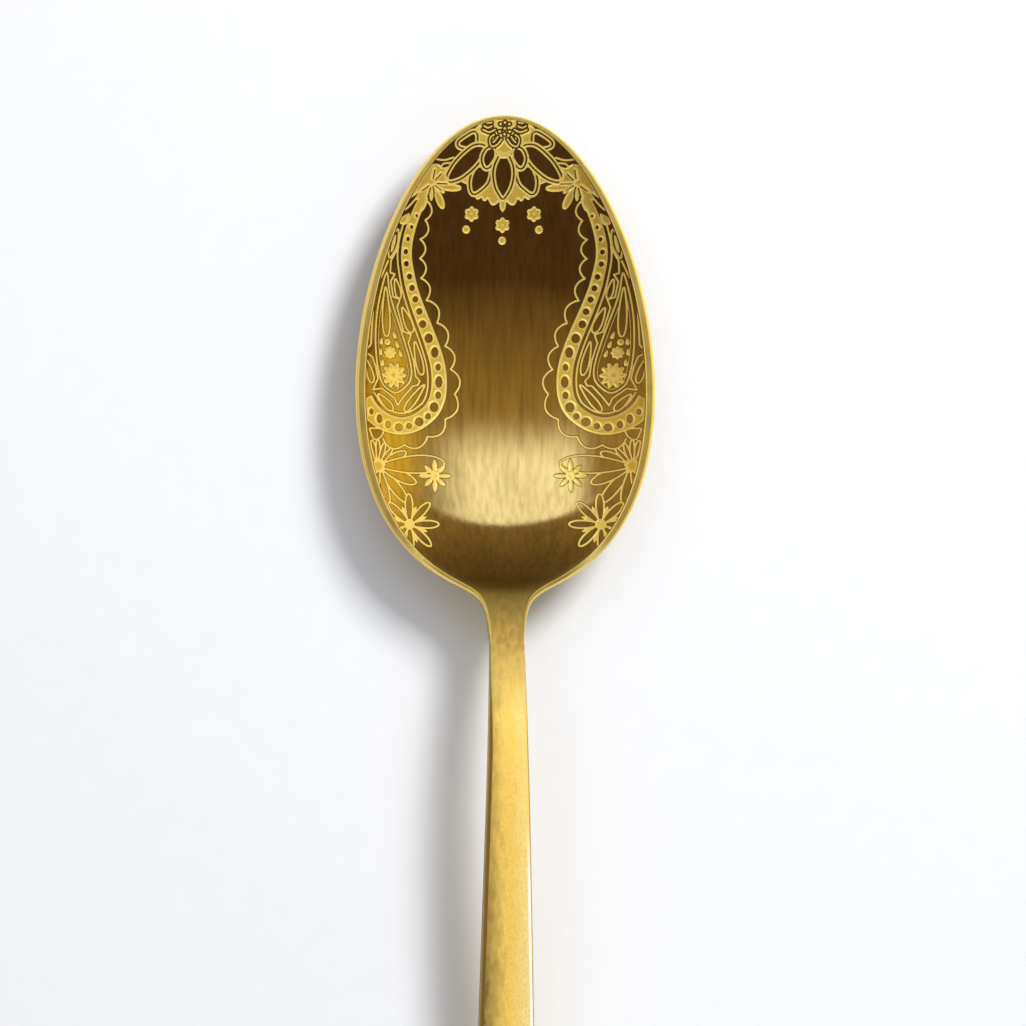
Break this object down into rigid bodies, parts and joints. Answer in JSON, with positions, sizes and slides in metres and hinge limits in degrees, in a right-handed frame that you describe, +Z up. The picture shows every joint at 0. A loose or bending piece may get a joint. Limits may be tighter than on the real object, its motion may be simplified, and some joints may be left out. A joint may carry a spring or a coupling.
{
  "type": "ornamented table spoon",
  "caption": "Gold-coloured table spoon: an egg-shaped bowl with etched flowers and paisleys inside, on a slim bevelled bar handle.",
  "frame": {"origin": "on the table, under the middle of the spoon's bounding box", "axes": "+X to the spoon's right, +Y from the handle's end towards the bowl's tip, +Z up out of the hollow"},
  "size_m": [0.0426, 0.203, 0.0155],
  "materials": {
    "polished_gold": "mirror-polished inside, with satin etched ornament",
    "satin_gold": "satin, brushed along the handle"
  },
  "bodies": {
    "root": {"bowl": "polished_gold", "handle": "satin_gold"}
  },
  "joints": []
}
